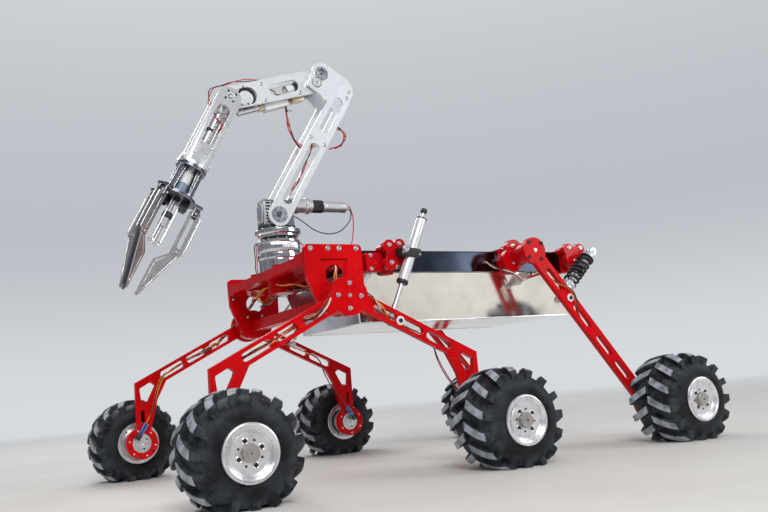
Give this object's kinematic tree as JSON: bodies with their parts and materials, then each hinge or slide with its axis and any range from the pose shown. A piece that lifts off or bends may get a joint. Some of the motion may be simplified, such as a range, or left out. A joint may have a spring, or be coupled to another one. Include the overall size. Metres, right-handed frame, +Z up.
{
  "type": "planetary rover prototype",
  "caption": "Six-wheel test rover with slotted rocker legs, polished hopper body, struts, hub motors and a folding arm with a three-finger gripper.",
  "frame": {"origin": "on the floor under the centre of the whole machine's box", "axes": "+X forward, +Y to the left side, +Z up"},
  "size_m": [1.4244, 1.073, 1.108],
  "materials": {
    "tyre": "matte moulded rubber with lugs",
    "rim_aluminium": "turned and polished",
    "motor_steel": "brushed",
    "black_rail": "high gloss black",
    "polished_panel": "mirror polished sheet with a faint warm haze",
    "black_anodised": "satin black",
    "strut_silver": "polished tube",
    "black_spring": "satin black coil",
    "polished_turret": "polished",
    "gearbox_grey": "dark grey-blue casting",
    "arm_aluminium": "machined and lightly brushed",
    "wire_sleeve": "thin insulated wire, black, red, orange and white",
    "red_paint": "glossy red coat over machined aluminium"
  },
  "bodies": {
    "root": {"chassis_rails": "black_rail", "crossmember": "red_paint", "damper_clamps": "black_anodised", "dampers": "strut_silver", "deck": "black_rail", "hopper": "polished_panel", "hub_harness": "wire_sleeve", "hub_motors_front": "motor_steel", "hub_motors_middle": "motor_steel", "hub_motors_rear": "motor_steel", "middle_clamps": "red_paint", "middle_harness": "wire_sleeve", "pivot_beam": "red_paint", "rear_end_clamps": "red_paint", "rear_harness": "wire_sleeve", "rear_leg_left": "red_paint", "rear_leg_right": "red_paint", "rear_pivot_clamps": "red_paint", "rocker_front_leg_left": "red_paint", "rocker_front_leg_right": "red_paint", "rocker_hubs": "red_paint", "rocker_middle_leg_left": "red_paint", "rocker_middle_leg_right": "red_paint", "shocks": "black_spring", "side_plate_left": "red_paint", "side_plate_right": "red_paint", "turret_base": "polished_turret"},
    "wheel_front_left": {"tyre_front_left": "tyre", "rim_front_left": "rim_aluminium"},
    "wheel_front_right": {"tyre_front_right": "tyre", "rim_front_right": "rim_aluminium"},
    "wheel_middle_left": {"tyre_middle_left": "tyre", "rim_middle_left": "rim_aluminium"},
    "wheel_middle_right": {"tyre_middle_right": "tyre", "rim_middle_right": "rim_aluminium"},
    "wheel_rear_left": {"tyre_rear_left": "tyre", "rim_rear_left": "rim_aluminium"},
    "wheel_rear_right": {"tyre_rear_right": "tyre", "rim_rear_right": "rim_aluminium"},
    "turret": {"turret_flange": "polished_turret", "shoulder_gearbox": "gearbox_grey", "shoulder_motor": "motor_steel", "shoulder_lead": "wire_sleeve"},
    "upper_arm": {"upper_arm": "arm_aluminium"},
    "forearm": {"forearm": "arm_aluminium", "forearm_drive": "gearbox_grey"},
    "wrist": {"wrist_link": "arm_aluminium", "wrist_motor": "motor_steel"},
    "gripper": {"gripper_body": "arm_aluminium", "gripper_motor": "motor_steel", "gripper_screw": "motor_steel"},
    "nut": {"gripper_nut": "black_anodised"},
    "finger_1": {"finger_1": "arm_aluminium"},
    "finger_2": {"finger_2": "arm_aluminium"},
    "finger_3": {"finger_3": "arm_aluminium"}
  },
  "joints": [
    {"name": "wheel_front_left_spin", "type": "hinge", "parent": "root", "child": "wheel_front_left", "pos_m": [0.59781, 0.4575, 0.102], "axis": [0, 1, 0], "continuous": true},
    {"name": "wheel_front_right_spin", "type": "hinge", "parent": "root", "child": "wheel_front_right", "pos_m": [0.59781, -0.4575, 0.102], "axis": [0, 1, 0], "continuous": true},
    {"name": "wheel_middle_left_spin", "type": "hinge", "parent": "root", "child": "wheel_middle_left", "pos_m": [-0.04019, 0.4575, 0.102], "axis": [0, 1, 0], "continuous": true},
    {"name": "wheel_middle_right_spin", "type": "hinge", "parent": "root", "child": "wheel_middle_right", "pos_m": [-0.04019, -0.4575, 0.102], "axis": [0, 1, 0], "continuous": true},
    {"name": "wheel_rear_left_spin", "type": "hinge", "parent": "root", "child": "wheel_rear_left", "pos_m": [-0.61019, 0.4575, 0.102], "axis": [0, 1, 0], "continuous": true},
    {"name": "wheel_rear_right_spin", "type": "hinge", "parent": "root", "child": "wheel_rear_right", "pos_m": [-0.61019, -0.4575, 0.102], "axis": [0, 1, 0], "continuous": true},
    {"name": "turret_yaw", "type": "hinge", "parent": "root", "child": "turret", "pos_m": [0.29981, 0, 0.602], "axis": [0, 0, 1], "range_deg": [-90, 90]},
    {"name": "shoulder_pitch", "type": "hinge", "parent": "turret", "child": "upper_arm", "pos_m": [0.30581, 0, 0.668], "axis": [0, 1, 0], "range_deg": [-35, 50]},
    {"name": "elbow_pitch", "type": "hinge", "parent": "upper_arm", "child": "forearm", "pos_m": [0.15181, 0, 1.078], "axis": [0, 1, 0], "range_deg": [-75, 12]},
    {"name": "wrist_pitch", "type": "hinge", "parent": "forearm", "child": "wrist", "pos_m": [0.41981, 0, 0.986], "axis": [0, -1, 0], "range_deg": [-25, 90]},
    {"name": "gripper_roll", "type": "hinge", "parent": "wrist", "child": "gripper", "pos_m": [0.52506, 0, 0.79053], "axis": [0.4741, 0, -0.8805], "range_deg": [-175, 175]},
    {"name": "finger_1_swing", "type": "hinge", "parent": "gripper", "child": "finger_1", "pos_m": [0.52343, 0, 0.667], "axis": [0, 1, 0], "range_deg": [-1.2, 25]},
    {"name": "finger_2_swing", "type": "hinge", "parent": "gripper", "child": "finger_2", "pos_m": [0.61361, 0.04243, 0.71556], "axis": [0.6226, -0.7071, 0.3352], "range_deg": [-1.2, 25]},
    {"name": "finger_3_swing", "type": "hinge", "parent": "gripper", "child": "finger_3", "pos_m": [0.61361, -0.04243, 0.71556], "axis": [-0.6226, -0.7071, -0.3352], "range_deg": [-1.2, 25]},
    {"name": "nut_slide", "type": "slide", "parent": "gripper", "child": "nut", "axis": [0.4741, 0, -0.8805], "range_m": [-0.0301, 0.004]}
  ],
  "couplings": [
    {"joint": "finger_2_swing", "follows": "finger_1_swing", "ratio": 1},
    {"joint": "finger_3_swing", "follows": "finger_1_swing", "ratio": 1},
    {"joint": "nut_slide", "follows": "finger_1_swing", "m_per_rad": -0.06875}
  ]
}
